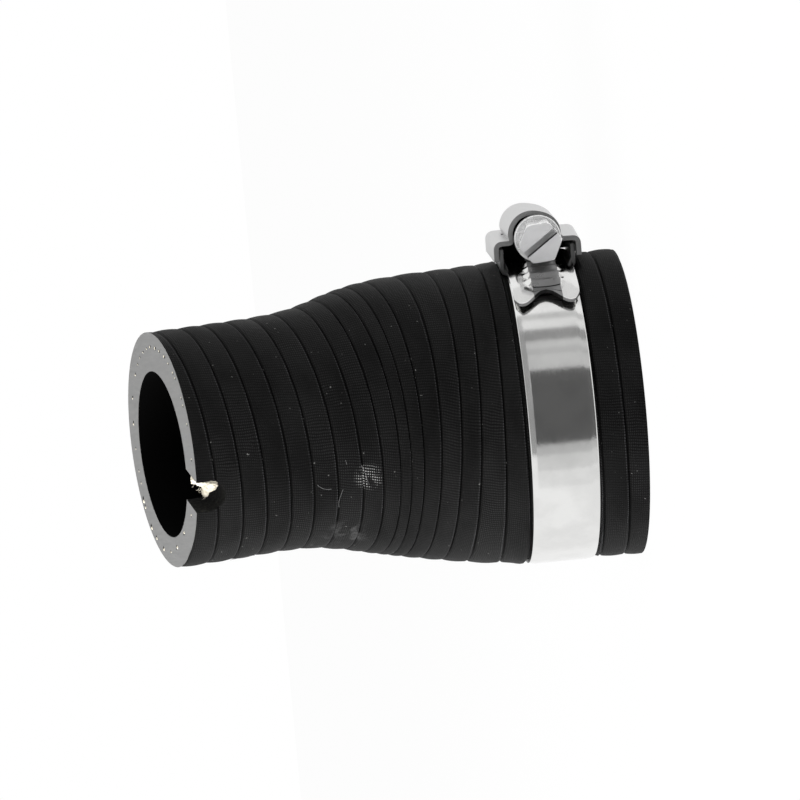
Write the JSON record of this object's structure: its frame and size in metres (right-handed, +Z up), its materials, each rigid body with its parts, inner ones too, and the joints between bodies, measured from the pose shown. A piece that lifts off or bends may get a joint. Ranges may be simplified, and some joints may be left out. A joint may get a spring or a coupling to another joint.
{
  "type": "charge air hose",
  "caption": "Cloth-wrapped rubber reducer hose with a slight bend, a notched small end and a worm-drive clamp on its large end.",
  "frame": {"origin": "middle of the bounding box at its bottom, which is the plane of the large end face", "axes": "+Z up along the clamped large end's axis, -Y the way the small end leans and the way the clamp's screw head faces, +X the side the clamp's housing is on"},
  "size_m": [0.0672, 0.0634, 0.0926],
  "materials": {
    "black_rubber": "matt, with the print of a curing wrap",
    "cream_yarn": "loose cut yarn",
    "stainless_band": "smooth, semi-bright",
    "pressed_steel": "pressed sheet, semi-bright",
    "saddle_steel": "pressed sheet, semi-bright",
    "plated_screw": "plated, semi-bright"
  },
  "bodies": {
    "hose": {"hose_body": "black_rubber", "yarn_tuft": "cream_yarn", "clamp_band": "stainless_band", "clamp_bridge": "pressed_steel", "clamp_saddle": "saddle_steel"},
    "screw": {"clamp_screw": "plated_screw"}
  },
  "joints": [
    {"name": "clamp_screw_turn", "type": "hinge", "parent": "hose", "child": "screw", "pos_m": [0.02791, -0.00471, 0.0151], "axis": [-0.225, -0.9744, 0], "continuous": true}
  ]
}
